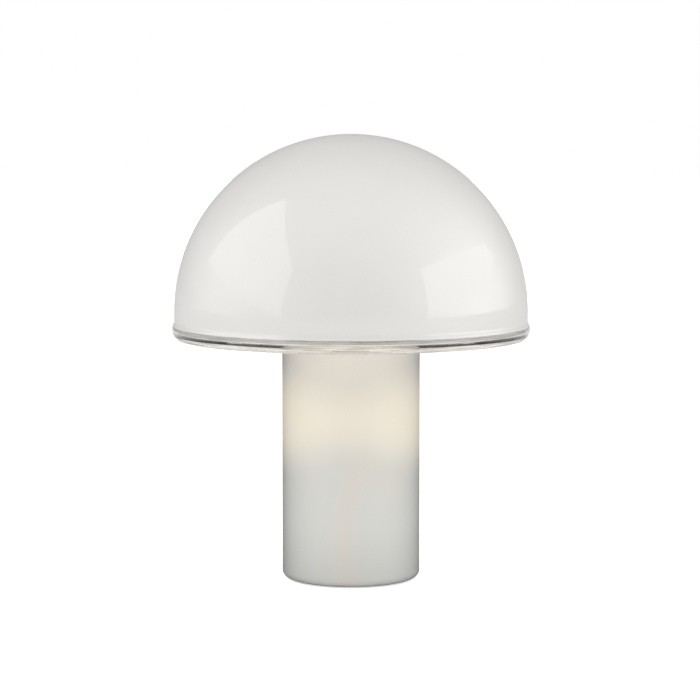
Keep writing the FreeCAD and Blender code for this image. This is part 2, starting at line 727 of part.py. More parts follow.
def gland_nut_piece():
    prism = primitive("Prism", "gland_nut_prism", Circumradius=nut_corner, Height="dim.gland_nut_height")
    prism.Polygon = 6
    hole = primitive("Cylinder", "gland_nut_hole", Radius="dim.gland_stem_radius + dim.fit_gap",
                     Height="dim.gland_nut_height")
    for piece in (prism, hole):
        piece.Placement.Rotation = FreeCAD.Rotation(FreeCAD.Vector(1, 0, 0), -90)
        place(piece, "0", f"{nut_seat} - dim.gland_nut_height", "dim.gland_height")
    return cut("gland_nut", prism, hole)


# An internal lead: a round tube along straight runs joined by tangent arcs.
def lead(label, stops):
    points = [FreeCAD.Vector(*(number(value) for value in stop)) for stop in stops]
    edges = []
    radii = []
    here = points[0]
    for before, corner, after in zip(points, points[1:], points[2:]):
        back = (before - corner).normalize()
        ahead = (after - corner).normalize()
        turn = math.pi - back.getAngle(ahead)
        set_back = 0.45 * min((before - corner).Length, (after - corner).Length)
        radius = set_back / math.tan(turn / 2)
        middle = (back + ahead).normalize() * (radius / math.cos(turn / 2) - radius)
        enter = corner + back * set_back
        leave = corner + ahead * set_back
        edges.append(Part.LineSegment(here, enter).toShape())
        edges.append(Part.Arc(enter, corner + middle, leave).toShape())
        radii.append(round(radius, 1))
        here = leave
    edges.append(Part.LineSegment(here, points[-1]).toShape())
    path = Part.Wire(edges)
    lead_radius = number("dim.lead_radius")
    section = Part.Wire(Part.makeCircle(lead_radius, points[0], points[1] - points[0]))
    solid = path.makePipeShell([section], True, False)
    expected = math.pi * lead_radius**2 * path.Length
    print(label, "bend radii", radii, "volume ratio", round(solid.Volume / expected, 4))
    piece = doc.addObject("Part::Feature", label)
    piece.Label = label
    piece.Shape = solid
    return piece


block_front = "(dim.block_distance - dim.block_width / 2)"
wire_level = f"({ballast_top} + dim.block_height / 2)"
window_middle = f"({window_level} + dim.tube_window_height / 2)"
nodes += terminal_pieces()
nodes += [cable_gland, gland_washer, gland_nut_piece()]
small_contact_level = f"({small_holder_level} + dim.small_deck_height - dim.contact_head)"
poles = {"left": "-dim.pole_pitch", "right": "dim.pole_pitch"}
for side, x in sides.items():
    pole = poles[side]
    nodes.append(lead(f"{side}_lead", [
        (pole, block_front, wire_level),
        (pole, f"({block_front} - dim.lead_run)", wire_level),
        (x, "0", f"({wire_level} + dim.lead_rise)"),
        (x, "0", small_contact_level),
    ]))
nodes.append(lead("upper_lead", [
    ("0", block_front, wire_level),
    ("0", f"({block_front} - dim.upper_lead_run)", wire_level),
    ("0", "0", window_middle),
    ("0", "0", f"({large_holder_level} + dim.large_deck_height - dim.contact_head)"),
]))

doc.recompute()
for piece in doc.Objects:
    if "Invalid" in piece.State or "Error" in piece.State:
        raise RuntimeError(f"{piece.Label}: {piece.State}")
for node in nodes:
    if node.Shape.isNull() or not node.Shape.isValid():
        raise RuntimeError(f"{node.Label}: no valid shape")
for node in nodes:
    node.Shape.exportStep(f"parts/{node.Label}.step")
    print(node.Label, len(node.Shape.Solids), "solids", round(node.Shape.Volume), "mm3")
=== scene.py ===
import bpy
import math
import numpy as np
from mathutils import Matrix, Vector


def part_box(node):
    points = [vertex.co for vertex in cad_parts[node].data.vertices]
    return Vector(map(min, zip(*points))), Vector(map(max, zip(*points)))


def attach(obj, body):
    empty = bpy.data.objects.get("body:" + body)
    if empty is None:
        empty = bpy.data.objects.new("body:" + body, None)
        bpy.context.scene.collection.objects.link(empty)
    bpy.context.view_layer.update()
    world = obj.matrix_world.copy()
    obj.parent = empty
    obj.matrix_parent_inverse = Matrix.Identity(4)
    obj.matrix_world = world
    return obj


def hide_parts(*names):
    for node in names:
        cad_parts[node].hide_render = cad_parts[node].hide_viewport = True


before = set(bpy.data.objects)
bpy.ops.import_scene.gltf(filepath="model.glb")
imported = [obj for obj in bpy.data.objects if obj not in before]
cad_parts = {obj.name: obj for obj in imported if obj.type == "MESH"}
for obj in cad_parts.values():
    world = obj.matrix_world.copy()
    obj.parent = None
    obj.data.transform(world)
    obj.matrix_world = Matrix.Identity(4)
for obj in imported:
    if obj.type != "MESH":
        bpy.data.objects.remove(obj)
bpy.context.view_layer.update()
mm = 0.001
print("frame loaded")


# Shapes: every new piece is a grid of points worked out with numpy.

def arcPoints(centre, radius, startAngle, endAngle, count):
    # centre + radius * (cos a, sin a), with a in degrees going evenly from start to end
    a = np.radians(np.linspace(startAngle, endAngle, count))
    return np.column_stack([centre[0] + radius * np.cos(a), centre[1] + radius * np.sin(a)])


def uprightPoints(radius, start, end, count):
    # points straight up or down at one radius
    return np.column_stack([np.full(count, radius), np.linspace(start, end, count)])


def throughArc(start, end, radius, count):
    # points from start to end on a circle of the given radius that bulges to the right of the way there
    start = np.array(start)
    end = np.array(end)
    chord = end - start
    half = np.linalg.norm(chord) / 2
    right = np.array([chord[1], -chord[0]]) / (2 * half)
    centre = (start + end) / 2 - right * math.sqrt(radius ** 2 - half ** 2)
    first = math.degrees(math.atan2(*(start - centre)[::-1]))
    turn = math.degrees(2 * math.asin(half / radius))
    return arcPoints(centre, radius, first, first + turn, count)


def gridFaces(rows, columns, closed=True):
    # quads between neighbouring rows and columns of a grid of points; a closed grid wraps round both ways
    r = np.arange(rows if closed else rows - 1)
    c = np.arange(columns if closed else columns - 1)
    i, j = np.meshgrid(r, c, indexing="ij")
    here = i * columns
    down = (i + 1) % rows * columns
    across = (j + 1) % columns
    return np.stack([here + j, here + across, down + across, down + j], axis=-1).reshape(-1, 4)


def signedVolume(points, faces):
    # sum of the tetrahedra from the origin to each face; it is positive when the faces point outwards
    a, b, c, d = (points[faces[:, k]] for k in range(4))
    first = np.einsum("ij,ij->i", a, np.cross(b, c))
    second = np.einsum("ij,ij->i", a, np.cross(c, d))
    return (first + second).sum() / 6


def meshObject(name, points, faces, material):
    mesh = bpy.data.meshes.new(name)
    mesh.from_pydata(points, [], faces)
    mesh.materials.append(material)
    piece = bpy.data.objects.new(name, mesh)
    bpy.context.scene.collection.objects.link(piece)
    return piece


def gridPiece(name, body, grids, material, replaces):
    # one closed piece from grids whose columns go round; a row that lies in one spot becomes a pole
    points = []
    faces = []
    start = 0
    for grid in grids:
        rows, columns = grid.shape[:2]
        spots = grid.reshape(-1, 3)
        index = np.arange(rows * columns).reshape(rows, columns)
        pole = np.ptp(grid, axis=1).max(axis=-1) < 1e-9
        index[pole] = index[pole][:, :1]
        quads = index.reshape(-1)[gridFaces(rows, columns)]
        different = (np.diff(np.sort(quads, axis=1), axis=1) > 0).sum(axis=1)
        quads = quads[different >= 2]
        if signedVolume(spots, quads) < 0:
            quads = quads[:, ::-1]
        used = np.unique(quads)
        points.append(spots[used])
        faces.append(np.searchsorted(used, quads) + start)
        start += len(used)
    # a quad with two corners on a pole becomes a triangle
    corners = [[v for k, v in enumerate(face) if v not in face[:k]] for face in np.vstack(faces).tolist()]
    piece = meshObject(name, np.vstack(points).tolist(), corners, material)
    piece.data.polygons.foreach_set("use_smooth", np.ones(len(corners), dtype=bool))
    piece.data.update()
    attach(piece, body)
    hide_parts(*replaces)


def spunGrid(outline, segments, centre=(0.0, 0.0)):
    # each outline point (radius, height) turned round +Z: (r cos t, r sin t, h)
    t = np.linspace(0, 2 * np.pi, segments, endpoint=False)
    r = outline[:, 0][:, None]
    x = centre[0] + r * np.cos(t)[None, :]
    y = centre[1] + r * np.sin(t)[None, :]
    z = np.repeat(outline[:, 1][:, None], segments, axis=1)
    return np.stack([x, y, z], axis=-1)


def spunPiece(name, body, outline, material, segments, replaces, centre=(0.0, 0.0)):
    # a closed outline turned round
    gridPiece(name, body, [spunGrid(outline, segments, centre)], material, replaces)


def roundedOutline(corners, rounding, count=4):
    # each corner c becomes a curve (1 - s)^2 a + 2 s (1 - s) c + s^2 b, with a and b on the sides next to it
    corner = np.array(corners, dtype=float)

    def along(other):
        way = other - corner
        length = np.linalg.norm(way, axis=1, keepdims=True)
        return (corner + way * np.minimum(rounding / length, 0.45))[:, None]

    s = np.linspace(0, 1, count)[None, :, None]
    a = along(np.roll(corner, 1, axis=0))
    b = along(np.roll(corner, -1, axis=0))
    curve = (1 - s) ** 2 * a + 2 * s * (1 - s) * corner[:, None] + s ** 2 * b
    onAxis = corner[:, 0] < 1e-9
    curve[onAxis] = corner[onAxis][:, None]
    outline = curve.reshape(-1, 2)
    fresh = np.linalg.norm(outline - np.roll(outline, 1, axis=0), axis=1) > 1e-9
    return outline[fresh]


def roundedBand(inside, outside, low, high, rounding):
    # a rectangle beside the axis: a ring when it is turned round
    return roundedOutline([(inside, low), (outside, low), (outside, high), (inside, high)], rounding)


def divided(outline, step):
    # a closed outline with more points on its long sides, none further apart than the step
    after = np.roll(outline, -1, axis=0)
    count = np.maximum(np.ceil(np.linalg.norm(after - outline, axis=1) / step).astype(int), 1)
    sides = [a + (b - a) * np.arange(n)[:, None] / n for a, b, n in zip(outline, after, count)]
    return np.vstack(sides)


def smooth(value, low, high):
    # s^2 (3 - 2 s), with s going from 0 at low to 1 at high
    s = np.clip((value - low) / (high - low), 0, 1)
    return s * s * (3 - 2 * s)


def threaded(grid, centre, low, high, pitch, depth, reach):
    # a screw thread cut into the outer rows: the radius falls by depth * (1 + cos(height turns - angle)) / 2
    x = grid[..., 0] - centre[0]
    y = grid[..., 1] - centre[1]
    z = grid[..., 2]
    r = np.hypot(x, y)
    turn = np.arctan2(y, x)
    fade = smooth(z, low, low + pitch / 2) * (1 - smooth(z, high - pitch / 2, high))
    wave = depth * (1 + np.cos(2 * np.pi * (z - low) / pitch - turn)) / 2 * fade * (r > reach)
    scale = (r - wave) / np.maximum(r, 1e-9)
    return np.stack([centre[0] + x * scale, centre[1] + y * scale, z], axis=-1)


def sweptGrid(path, radii, columns, reference):
    # circles square to a path: point + radius * (cos a * u + sin a * v)
    along = np.gradient(path, axis=0)
    along /= np.linalg.norm(along, axis=1, keepdims=True)
    u = np.cross(along, reference)
    u /= np.linalg.norm(u, axis=1, keepdims=True)
    v = np.cross(along, u)
    a = np.linspace(0, 2 * np.pi, columns, endpoint=False)[None, :, None]
    return path[:, None] + radii[:, None, None] * (np.cos(a) * u[:, None] + np.sin(a) * v[:, None])


def nutGrid(flats, height, bore, level, centre=(0.0, 0.0), columns=72):
    # hexagon radius (flats / 2) / cos(angle to the nearest flat), cut at both faces by a 30 degree cone
    chamfer = 0.35 * mm
    faceWidth = 0.97  # of the cone at both faces, as a share of the flats
    t = np.linspace(0, 2 * np.pi, columns, endpoint=False)
    hexagon = flats / 2 / np.cos((t + np.pi / 6) % (np.pi / 3) - np.pi / 6)
    rise = np.concatenate([np.linspace(0, 0.25, 7), np.linspace(0.75, 1, 7)]) * height
    cone = flats / 2 * faceWidth + np.minimum(rise, height - rise) * math.sqrt(3)
    outside = np.minimum(hexagon[None, :], cone[:, None])
    hole = np.array([bore, bore, bore + chamfer])
    radii = np.vstack([np.repeat(hole[:, None], columns, axis=1), outside, np.full((1, columns), hole[-1])])
    heights = np.concatenate([[height - chamfer, chamfer, 0], rise, [height]])[:, None] + level
    return np.stack([centre[0] + radii * np.cos(t), centre[1] + radii * np.sin(t),
                     np.repeat(heights, columns, axis=1)], axis=-1)


# Materials: a helper adds its nodes where its input comes from and gives back the output to link on.

def newMaterial(name):
    material = bpy.data.materials.new(name)
    material.use_nodes = True
    return material, material.node_tree, material.node_tree.nodes["Principled BSDF"]


def setInputs(node, settings):
    for socket, value in settings.items():
        node.inputs[socket].default_value = value


def feed(output, node, socket):
    node.id_data.links.new(output, node.inputs[socket])


def objectPlace(tree):
    return tree.nodes.new("ShaderNodeTexCoord").outputs["Object"]


def noiseOver(vector, scale, detail=3.0, roughness=0.5, squeeze=1):
    # clouds, which the squeeze makes that much shorter upright
    tree = vector.id_data
    mapping = tree.nodes.new("ShaderNodeMapping")
    mapping.inputs["Scale"].default_value = (1, 1, squeeze)
    noise = tree.nodes.new("ShaderNodeTexNoise")
    setInputs(noise, {"Scale": scale, "Detail": detail, "Roughness": roughness})
    feed(vector, mapping, "Vector")
    feed(mapping.outputs["Vector"], noise, "Vector")
    return noise.outputs["Fac"]


def rampOver(value, low, lowColour, high, highColour):
    # a colour that goes from one to the other as the value goes from low to high
    ramp = value.id_data.nodes.new("ShaderNodeValToRGB")
    for element, position, colour in zip(ramp.color_ramp.elements, (low, high), (lowColour, highColour)):
        element.position = position
        element.color = (*colour, 1)
    feed(value, ramp, "Fac")
    return ramp.outputs["Color"]


def spread(value, fromLow, fromHigh, toLow, toHigh):
    # one span of numbers carried over to another, easing in and out
    span = value.id_data.nodes.new("ShaderNodeMapRange")
    span.interpolation_type = "SMOOTHSTEP"
    setInputs(span, {"From Min": fromLow, "From Max": fromHigh, "To Min": toLow, "To Max": toHigh})
    feed(value, span, "Value")
    return span.outputs["Result"]


def calculate(operation, *values):
    tree = next(value.id_data for value in values if not isinstance(value, (int, float)))
    node = tree.nodes.new("ShaderNodeMath")
    node.operation = operation
    for index, value in enumerate(values):
        if isinstance(value, (int, float)):
            node.inputs[index].default_value = value
        else:
            feed(value, node, index)
    return node.outputs["Value"]


def product(first, *others):
    for other in others:
        first = calculate("MULTIPLY", first, other)
    return first


def total(first, *others):
    for other in others:
        first = calculate("ADD", first, other)
    return first


def vectorMath(operation, vector, other=None):
    node = vector.id_data.nodes.new("ShaderNodeVectorMath")
    node.operation = operation
    feed(vector, node, 0)
    if other is not None:
        node.inputs[1].default_value = other
    return node


def dimmed(colour, factor):
    scaled = vectorMath("SCALE", colour)
    feed(factor, scaled, "Scale")
    return scaled.outputs["Vector"]


def bumpOver(shader, height, strength, distance, coat=True):
    bump = height.id_data.nodes.new("ShaderNodeBump")
    setInputs(bump, {"Strength": strength, "Distance": distance})
    feed(height, bump, "Height")
    feed(bump.outputs["Normal"], shader, "Normal")
    if coat:
        feed(bump.outputs["Normal"], shader, "Coat Normal")


plainLooks = {
    # dark and pale colour, metallic, roughness from and to, scale and squeeze of the grain, relief
    "footRubber": ((0.018, 0.018, 0.018), (0.035, 0.034, 0.033), 0.0, 0.62, 0.82, 900.0, 1, 0.00006),
    "sleeveSilicone": ((0.66, 0.66, 0.645), (0.71, 0.71, 0.69), 0.0, 0.42, 0.60, 260.0, 1, 0.00003),
    "zincSteel": ((0.48, 0.49, 0.50), (0.64, 0.63, 0.60), 1.0, 0.20, 0.38, 420.0, 6, 0.00002),
    "ballastIron": ((0.030, 0.030, 0.031), (0.058, 0.057, 0.056), 0.3, 0.38, 0.60, 520.0, 1, 0.00012),
    "whiteSteel": ((0.70, 0.70, 0.685), (0.78, 0.78, 0.765), 0.0, 0.30, 0.42, 800.0, 1, 0.00003),
    "holderPlastic": ((0.68, 0.67, 0.64), (0.75, 0.74, 0.71), 0.0, 0.30, 0.44, 1100.0, 1, 0.00002),
    "holderMetal": ((0.55, 0.55, 0.54), (0.72, 0.72, 0.71), 1.0, 0.22, 0.40, 300.0, 9, 0.00002),
    "contactBrass": ((0.52, 0.35, 0.13), (0.72, 0.53, 0.24), 1.0, 0.22, 0.46, 380.0, 1, 0.00002),
    "bulbSolder": ((0.34, 0.34, 0.35), (0.52, 0.52, 0.51), 1.0, 0.35, 0.58, 620.0, 1, 0.00008),
    "bulbInsulator": ((0.012, 0.012, 0.014), (0.03, 0.029, 0.03), 0.0, 0.08, 0.22, 400.0, 1, 0.00002),
    "bulbCapMetal": ((0.58, 0.58, 0.57), (0.74, 0.74, 0.73), 1.0, 0.18, 0.34, 260.0, 8, 0.00002),
    "blockPlastic": ((0.64, 0.63, 0.58), (0.73, 0.72, 0.67), 0.0, 0.34, 0.50, 700.0, 1, 0.00003),
    "glandPlastic": ((0.66, 0.66, 0.64), (0.74, 0.74, 0.72), 0.0, 0.22, 0.34, 900.0, 1, 0.00002),
    "leadSheath": ((0.58, 0.56, 0.50), (0.70, 0.68, 0.61), 0.0, 0.42, 0.58, 500.0, 0.3, 0.00003),
}
plainGrain = {
    "cloudScale": 45.0,
    "grainShare": 0.55,  # of the mix, the cloud has the rest
    "mixSpan": (0.36, 0.64),
    "reliefStrength": 0.35,
}


def plainMaterial(name):
    # two colours, the gloss and a fine relief follow one grain; a slower cloud adds wear
    dark, pale, metallic, glossy, dull, scale, squeeze, relief = plainLooks[name]
    material, tree, shader = newMaterial(name)
    place = objectPlace(tree)
    grain = noiseOver(place, scale, 4.0, 0.6, squeeze)
    cloud = noiseOver(place, plainGrain["cloudScale"])
    share = plainGrain["grainShare"]
    low, high = plainGrain["mixSpan"]
    mixed = total(product(grain, share), product(cloud, 1 - share))
    feed(rampOver(mixed, low, dark, high, pale), shader, "Base Color")
    feed(spread(mixed, low, high, dull, glossy), shader, "Roughness")
    shader.inputs["Metallic"].default_value = metallic
    bumpOver(shader, grain, plainGrain["reliefStrength"], relief, coat=False)
    return material


looks = {name: plainMaterial(name) for name in plainLooks}


# Opal glass: white glass with a clear glossy coat; at flat angles the gloss is held back and shade is painted
# in.
opalLook = {
    "capPale": (0.765, 0.755, 0.735),
    "capDeep": (0.73, 0.72, 0.695),
    "columnBulbLitWarm": (0.715, 0.675, 0.60),
    "columnCool": (0.68, 0.685, 0.65),
    "warmSpan": (0.07, 0.165),  # heights between which painted bulb light turns the column from cool to warm
    "unevenness": 0.12,
    "stripe": 0.75,  # how warm the stripe of painted bulb light down to the foot is
    "stripeHalf": 0.034,
    "cloudScale": 9.0,
    "rollScale": 14.0,  # slow waves of hand-worked glass
    "rollStrength": 0.3,
    "rollDepth": 0.00012,
    "roughness": 0.45,
    "specular": 0.2,
    "capGloss": 0.03,  # roughness of the clear casing
    "columnGloss": 0.08,
    "glossFade": (0.4, 0.8),  # slants between which the gloss falls to the next value
    "edgeGloss": 0.12,
    # painted shade towards the outline: its power, and its share on cap and column
    "outlineShadePower": 1.5,
    "capOutlineShade": 0.32,
    "columnOutlineShade": 0.92,
    "capEdge": 0.97,
    "capEdgeSpan": (12 * mm, 22 * mm),  # over the lip
    "footShade": 0.88,
    "footShadeSpan": (0.0, 0.07),
    "footPaintedLight": 1.35,  # painted light: the glass is paler again where it turns under
    "footPaintedLightSpan": (0.001, 0.008),
    "insideGlowColour": (1.0, 0.97, 0.92),
    "insideGlow": 0.32,  # painted light: a glow on the cap's inner side for light let through the wall
}


def slantOf(tree):
    # 0 where a surface is seen straight, 1 where it is seen along itself
    weight = tree.nodes.new("ShaderNodeLayerWeight")
    weight.inputs["Blend"].default_value = 0.5
    return weight.outputs["Facing"]


def paintedOutlineShade(tree, share):
    # painted shade towards the outline, where the surface is seen at a flat angle: 1 - share * slant^power
    slant = calculate("POWER", slantOf(tree), opalLook["outlineShadePower"])
    return calculate("SUBTRACT", 1.0, product(slant, share))


def casingGloss(tree, shader, roughness):
    # clear gloss, held back at a flat angle: there it would mirror the far panel as white as the background
    share = spread(slantOf(tree), *opalLook["glossFade"], 1.0, opalLook["edgeGloss"])
    feed(share, shader, "Coat Weight")
    setInputs(shader, {"Coat Roughness": roughness, "Coat IOR": 1.5})


def opalGlass(name, detail, roughness=0.5, squeeze=1):
    # what cap and column share: dull white glass, its clouds, and its place split up
    material, tree, shader = newMaterial(name)
    place = objectPlace(tree)
    split = tree.nodes.new("ShaderNodeSeparateXYZ")
    feed(place, split, "Vector")
    clouds = noiseOver(place, opalLook["cloudScale"], detail, roughness, squeeze)
    setInputs(shader, {"Roughness": opalLook["roughness"], "Specular IOR Level": opalLook["specular"]})
    return material, tree, shader, place, split.outputs, clouds


# Cap: one opal wall with a clear coat over it, and the clear rim bead round its lip.
capShape = {
    "radius": 177.7 * mm,
    "wall": 4.5 * mm,
    "skirt": 27.0 * mm,
    "lipHeight": 243.7 * mm,
    "opalEdge": 8.4 * mm,  # from the lip up to the opal layer's own edge, on the inside
    "opalBulge": 12.6 * mm,  # and on the outside
    "edgeRound": 1.2 * mm,
    "insideRadius": 5.05 * mm,
    "beadHeight": 16.5 * mm,
    "beadRadius": 11.58 * mm,
    "lipInset": 1.9 * mm,
    "hiddenOuter": (1.0 * mm, 0.8 * mm),  # the bead's end inside the opal: how far in and up
    "hiddenInner": (2.2 * mm, 1.2 * mm),
    "insideTop": (0.1 * mm, 0.9 * mm),
    "overlap": 1.0 * mm,
    "segments": 320,
    "beadSegments": 480,
}


def opalCapGlass():
    s = capShape
    material, tree, shader, place, split, clouds = opalGlass("opalCapGlass", 2.0)
    colour = rampOver(clouds, 0.3, opalLook["capDeep"], 0.7, opalLook["capPale"])
    # the opal thins out towards its lower edge
    low, high = opalLook["capEdgeSpan"]
    thin = spread(split["Z"], s["lipHeight"] + low, s["lipHeight"] + high, opalLook["capEdge"], 1.0)
    # the cap's colour with painted shade towards its outline, and darker where the opal thins
    factor = product(paintedOutlineShade(tree, opalLook["capOutlineShade"]), thin)
    feed(dimmed(colour, factor), shader, "Base Color")
    casingGloss(tree, shader, opalLook["capGloss"])
    rolls = noiseOver(place, opalLook["rollScale"], 1.0)
    bumpOver(shader, rolls, opalLook["rollStrength"], opalLook["rollDepth"])
    # painted light on the inner side, for light through the wall: (x, y, height over the skirt) is shorter
    # there
    over = calculate("SUBTRACT", split["Z"], s["lipHeight"] + s["skirt"])
    flat = tree.nodes.new("ShaderNodeCombineXYZ")
    feed(split["X"], flat, "X")
    feed(split["Y"], flat, "Y")
    feed(calculate("MAXIMUM", over, 0.0), flat, "Z")
    length = vectorMath("LENGTH", flat.outputs["Vector"]).outputs["Value"]
    inside = calculate("LESS_THAN", length, s["radius"] - s["wall"] / 2)
    shader.inputs["Emission Color"].default_value = (*opalLook["insideGlowColour"], 1)
    feed(product(inside, opalLook["insideGlow"]), shader, "Emission Strength")
    return material


beadLook = {
    "clear": (0.95, 0.955, 0.95),
    "smoky": (0.58, 0.54, 0.50),
    "smokySpan": (0.46, 0.62),
    "indexOfRefraction": 1.5,
    "roughness": 0.02,
    "streakScale": 22.0,
    "streakSqueeze": 40,  # thin level streaks drawn out along the rim
    "rippleScale": 60.0,
    "rippleSqueeze": 4,
    "rippleDepth": 0.0002,
}


def clearBeadGlass():
    material, tree, shader = newMaterial("clearBeadGlass")
    place = objectPlace(tree)
    streaks = noiseOver(place, beadLook["streakScale"], 4.0, squeeze=beadLook["streakSqueeze"])
    low, high = beadLook["smokySpan"]
    feed(rampOver(streaks, low, beadLook["clear"], high, beadLook["smoky"]), shader, "Base Color")
    setInputs(shader, {"Transmission Weight": 1.0, "IOR": beadLook["indexOfRefraction"],
                       "Roughness": beadLook["roughness"]})
    ripples = noiseOver(place, beadLook["rippleScale"], 2.0, squeeze=beadLook["rippleSqueeze"])
    bumpOver(shader, ripples, 0.3, beadLook["rippleDepth"], coat=False)
    return material


def bulgeOutline():
    # the outside of the rim, from the lip up to the straight wall
    s = capShape
    lip = [s["radius"] - s["wall"] + s["lipInset"], s["lipHeight"]]
    return throughArc(lip, [s["radius"], s["lipHeight"] + s["beadHeight"]], s["beadRadius"], 41)


def capOutline():
    s = capShape
    inner = s["radius"] - s["wall"]
    equator = s["lipHeight"] + s["skirt"]
    edge = s["lipHeight"] + s["opalEdge"] + s["edgeRound"]
    bulge = bulgeOutline()
    bulge = bulge[bulge[:, 1] > s["lipHeight"] + s["opalBulge"]]
    skirtOut = uprightPoints(s["radius"], bulge[-1, 1], equator, 6)[1:]
    domeOut = arcPoints((0, equator), s["radius"], 0, 90, 97)[1:]
    domeIn = arcPoints((0, equator), inner, 90, 0, 97)
    skirtIn = uprightPoints(inner, equator, edge, 8)[1:]
    foot = arcPoints((inner + s["edgeRound"], edge), s["edgeRound"], 180, 290, 11)[1:]
    outline = np.vstack([bulge, skirtOut, domeOut, domeIn, skirtIn, foot])
    outline[outline[:, 0] < 1e-6, 0] = 0
    return outline


def beadOutline():
    s = capShape
    inner = s["radius"] - s["wall"]
    opalOut = s["lipHeight"] + s["opalBulge"]
    opalIn = s["lipHeight"] + s["opalEdge"]
    bulge = bulgeOutline()
    outside = bulge[bulge[:, 1] < opalOut + s["overlap"]]
    # its upper end lies inside the opal, which hides it
    hidden = np.array([[s["radius"] - s["hiddenOuter"][0], opalOut + s["hiddenOuter"][1]],
                       [s["radius"] - s["hiddenInner"][0], opalIn + s["hiddenInner"][1]]])
    top = [inner - s["insideTop"][0], opalIn + s["insideTop"][1]]
    inside = throughArc(top, bulge[0], s["insideRadius"], 21)[:-1]
    return np.vstack([outside, hidden, inside])


spunPiece("capGlass", "cap", capOutline(), opalCapGlass(), capShape["segments"],
          ("cap_opal_glass", "cap_clear_casing"))
spunPiece("rimBead", "cap", beadOutline(), clearBeadGlass(), capShape["beadSegments"],
          ("cap_rim_bead",))
print("cap made")


# Column: a straight wall with a rounded foot corner, a recessed floor and an open melted edge.
columnShape = {
    "radius": 69.4 * mm,
    "wall": 4.5 * mm,
    "height": 266.0 * mm,
    "lift": 1.0 * mm,
    "corner": 7.6 * mm,
    "innerCorner": 6.0 * mm,
    "recess": 7.0 * mm,
    "floor": 5.0 * mm,
    "recessRadius": 53.0 * mm,
    "recessSlope": 4.0 * mm,
    "recessEdge": (1.0 * mm, 0.6 * mm),  # the slope's last bit, outwards and up
    "floorHole": 8.0 * mm,
    "segments": 256,
}
# painted light on the column's glass: the glow of the bulbs inside, and light from the cap
glowLook = {
    "colour": (1.0, 0.86, 0.57),
    "strength": 0.265,
    "reach": (0.035, 0.096),  # full glow up to here, none beyond
    "flatten": 1.4,  # over 1 draws the glow together up and down
    "bulbHeight": 0.165,
    "bulbOffset": 0.030,
    "topColour": (1.0, 0.92, 0.84),
    "topStrength": 0.12,
    "topSpan": (0.155, 0.245),
    "innerStrength": 0.22,  # more of it where the column stands inside the cap
    "innerSpan": (0.232, 0.262),
}


def opalColumnGlass():
    material, tree, shader, place, split, clouds = opalGlass("opalColumnGlass", 4.0, 0.6, 0.6)
    uneven = product(calculate("SUBTRACT", clouds, 0.5), opalLook["unevenness"])
    # painted bulb light: the column turns warm with height
    bulbWarmth = spread(total(split["Z"], uneven), *opalLook["warmSpan"], 0.0, 1.0)
    # painted bulb light: a warmer stripe between the bulbs reaches down to the foot, in front and behind
    middle = calculate("ABSOLUTE", total(split["X"], uneven))
    stripe = spread(middle, 0.0, opalLook["stripeHalf"], opalLook["stripe"], 0.0)
    bulbWarmth = calculate("MAXIMUM", bulbWarmth, stripe)
    colour = rampOver(bulbWarmth, 0.0, opalLook["columnCool"], 1.0, opalLook["columnBulbLitWarm"])
    # painted shade towards the column's outline, on its colour and on the painted light from the cap
    outlineShade = paintedOutlineShade(tree, opalLook["columnOutlineShade"])
    # painted shade towards the foot, then painted light where the glass turns under
    low = spread(split["Z"], *opalLook["footShadeSpan"], opalLook["footShade"], 1.0)
    under = spread(split["Z"], *opalLook["footPaintedLightSpan"], opalLook["footPaintedLight"], 1.0)
    feed(dimmed(colour, product(outlineShade, low, under)), shader, "Base Color")
    casingGloss(tree, shader, opalLook["columnGloss"])
    # painted light of the bulbs: each bulb's glow by distance, where up and down counts for more
    flattened = vectorMath("MULTIPLY", place, (1, 1, glowLook["flatten"])).outputs["Vector"]
    near = []
    for side in (-1, 1):
        bulb = (side * glowLook["bulbOffset"], 0, glowLook["bulbHeight"] * glowLook["flatten"])
        distance = vectorMath("DISTANCE", flattened, bulb).outputs["Value"]
        near.append(spread(distance, *glowLook["reach"], 1.0, 0.0))
    glow = product(total(*near), glowLook["strength"])
    # painted light from the cap, more of it towards the column's upper end
    high = spread(split["Z"], *glowLook["topSpan"], 0.0, 1.0)
    inCap = spread(split["Z"], *glowLook["innerSpan"], 0.0, glowLook["innerStrength"])
    fromCap = total(product(high, glowLook["topStrength"]), inCap)
    tone = rampOver(high, 0.2, glowLook["colour"], 0.8, glowLook["topColour"])
    feed(tone, shader, "Emission Color")
    feed(total(glow, product(fromCap, outlineShade)), shader, "Emission Strength")
    rolls = noiseOver(place, opalLook["rollScale"], 1.0, squeeze=0.4)
    bumpOver(shader, rolls, opalLook["rollStrength"], opalLook["rollDepth"])
    return material


def columnOutline():
    s = columnShape
    low = s["lift"]
    outer = s["radius"]
    inner = outer - s["wall"]
    half = s["wall"] / 2
    top = low + s["height"] - half
    ceiling = low + s["recess"]
    floorTop = ceiling + s["floor"]
    bend = floorTop + s["innerCorner"]
    foot = arcPoints((outer - s["corner"], low + s["corner"]), s["corner"], -90, 0, 17)
    wallOut = uprightPoints(outer, low + s["corner"], top, 24)[1:]
    edge = arcPoints((outer - half, top), half, 0, 180, 15)[1:]
    wallIn = uprightPoints(inner, top, bend, 24)[1:]
    cornerIn = arcPoints((inner - s["innerCorner"], bend), s["innerCorner"], 0, -90, 9)[1:]
    slopeEnd = s["recessRadius"] + s["recessSlope"]
    rest = np.array([
        [s["floorHole"], floorTop],
        [s["floorHole"], ceiling],
        [s["recessRadius"], ceiling],
        [slopeEnd, low + s["recessEdge"][1]],
        [slopeEnd + s["recessEdge"][0], low],
    ])
    return np.vstack([foot, wallOut, edge, wallIn, cornerIn, rest])


spunPiece("columnGlass", "base", columnOutline(), opalColumnGlass(), columnShape["segments"],
          ("column_opal_glass", "column_clear_casing"))
print("column made")


